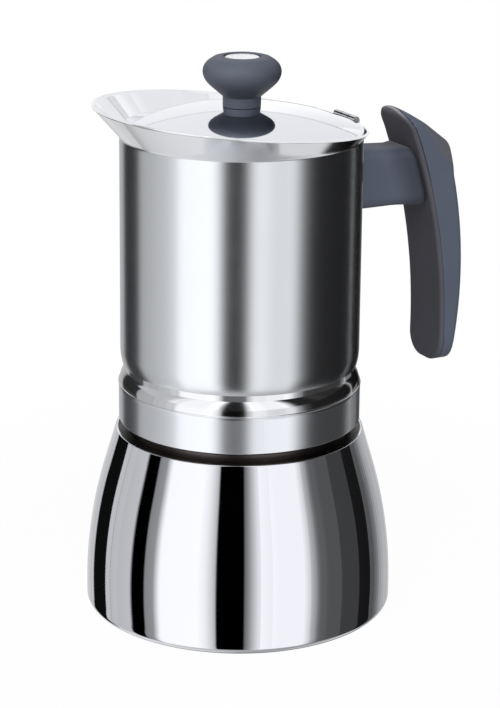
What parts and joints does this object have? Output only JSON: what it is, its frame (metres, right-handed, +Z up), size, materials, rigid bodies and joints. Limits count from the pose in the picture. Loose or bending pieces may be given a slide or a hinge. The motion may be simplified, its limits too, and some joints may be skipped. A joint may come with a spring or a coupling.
{
  "type": "moka pot",
  "caption": "Stovetop coffee maker: a steam boiler with a safety valve, a screw-on pouring jug with a hinged domed lid and a side handle.",
  "frame": {"origin": "centre of the boiler's flat foot, on the surface it stands on", "axes": "+Z up along the pot's axis; +X towards the handle and the lid's hinge; -X towards the spout"},
  "size_m": [0.1398, 0.1161, 0.1952],
  "materials": {
    "boiler_steel": "mirror polished stainless steel",
    "jug_steel": "satin polished stainless steel",
    "collar_steel": "polished shoulder over a fine brushed band",
    "neck_steel": "turned steel thread",
    "lid_steel": "mirror polished stainless steel",
    "inner_steel": "plain drawn steel",
    "fastener_steel": "bright steel",
    "valve_brass": "turned brass",
    "seal_rubber": "matt silicone",
    "valve_seal": "matt silicone",
    "knob_plastic": "soft-touch",
    "knob_seal": "matt",
    "handle_plastic": "soft-touch",
    "grip_plastic": "soft-touch"
  },
  "bodies": {
    "boiler": {"boiler_shell": "boiler_steel", "boiler_neck": "neck_steel", "valve_body": "valve_brass", "valve_washer": "valve_seal", "valve_nut": "valve_brass"},
    "valve_pin": {"valve_pin": "fastener_steel"},
    "funnel": {"funnel_cup": "inner_steel", "funnel_screen": "inner_steel", "funnel_stem": "inner_steel"},
    "gasket": {"gasket": "seal_rubber"},
    "filter": {"filter_plate": "inner_steel"},
    "jug": {"jug_shell": "jug_steel", "jug_collar": "collar_steel", "coffee_column": "inner_steel", "column_cap": "inner_steel", "jug_hinge_leaf": "fastener_steel", "hinge_pin": "fastener_steel", "handle_bracket": "fastener_steel", "handle_arm": "handle_plastic", "handle_screw": "fastener_steel", "grip_front": "grip_plastic", "grip_back": "handle_plastic"},
    "lid": {"lid_plate": "lid_steel", "lid_hinge_leaf": "fastener_steel", "knob_washer": "knob_seal", "knob_body": "knob_plastic", "knob_insert": "lid_steel", "knob_screw": "fastener_steel"}
  },
  "joints": [
    {"name": "valve_pin_slide", "type": "slide", "parent": "boiler", "child": "valve_pin", "axis": [0, 1, 0], "range_m": [0, 0.002], "stiffness_N_per_m": 300},
    {"name": "funnel_lift", "type": "slide", "parent": "boiler", "child": "funnel", "axis": [0, 0, 1], "range_m": [0, 0.09]},
    {"name": "lift_off", "type": "slide", "parent": "boiler", "child": "gasket", "axis": [0, 0, 1], "range_m": [0, 0.18]},
    {"name": "thread_rise", "type": "slide", "parent": "gasket", "child": "filter", "axis": [0, 0, 1], "range_m": [0, 0.005]},
    {"name": "upper_turn", "type": "hinge", "parent": "filter", "child": "jug", "pos_m": [0, 0, 0.08], "axis": [0, 0, 1], "range_deg": [0, 450]},
    {"name": "lid_hinge", "type": "hinge", "parent": "jug", "child": "lid", "pos_m": [0.041, 0, 0.17], "axis": [0, 1, 0], "range_deg": [0, 100]}
  ],
  "couplings": [
    {"joint": "funnel_lift", "follows": "lift_off", "ratio": 0.5},
    {"joint": "thread_rise", "follows": "upper_turn", "m_per_rad": 0.00063662}
  ]
}
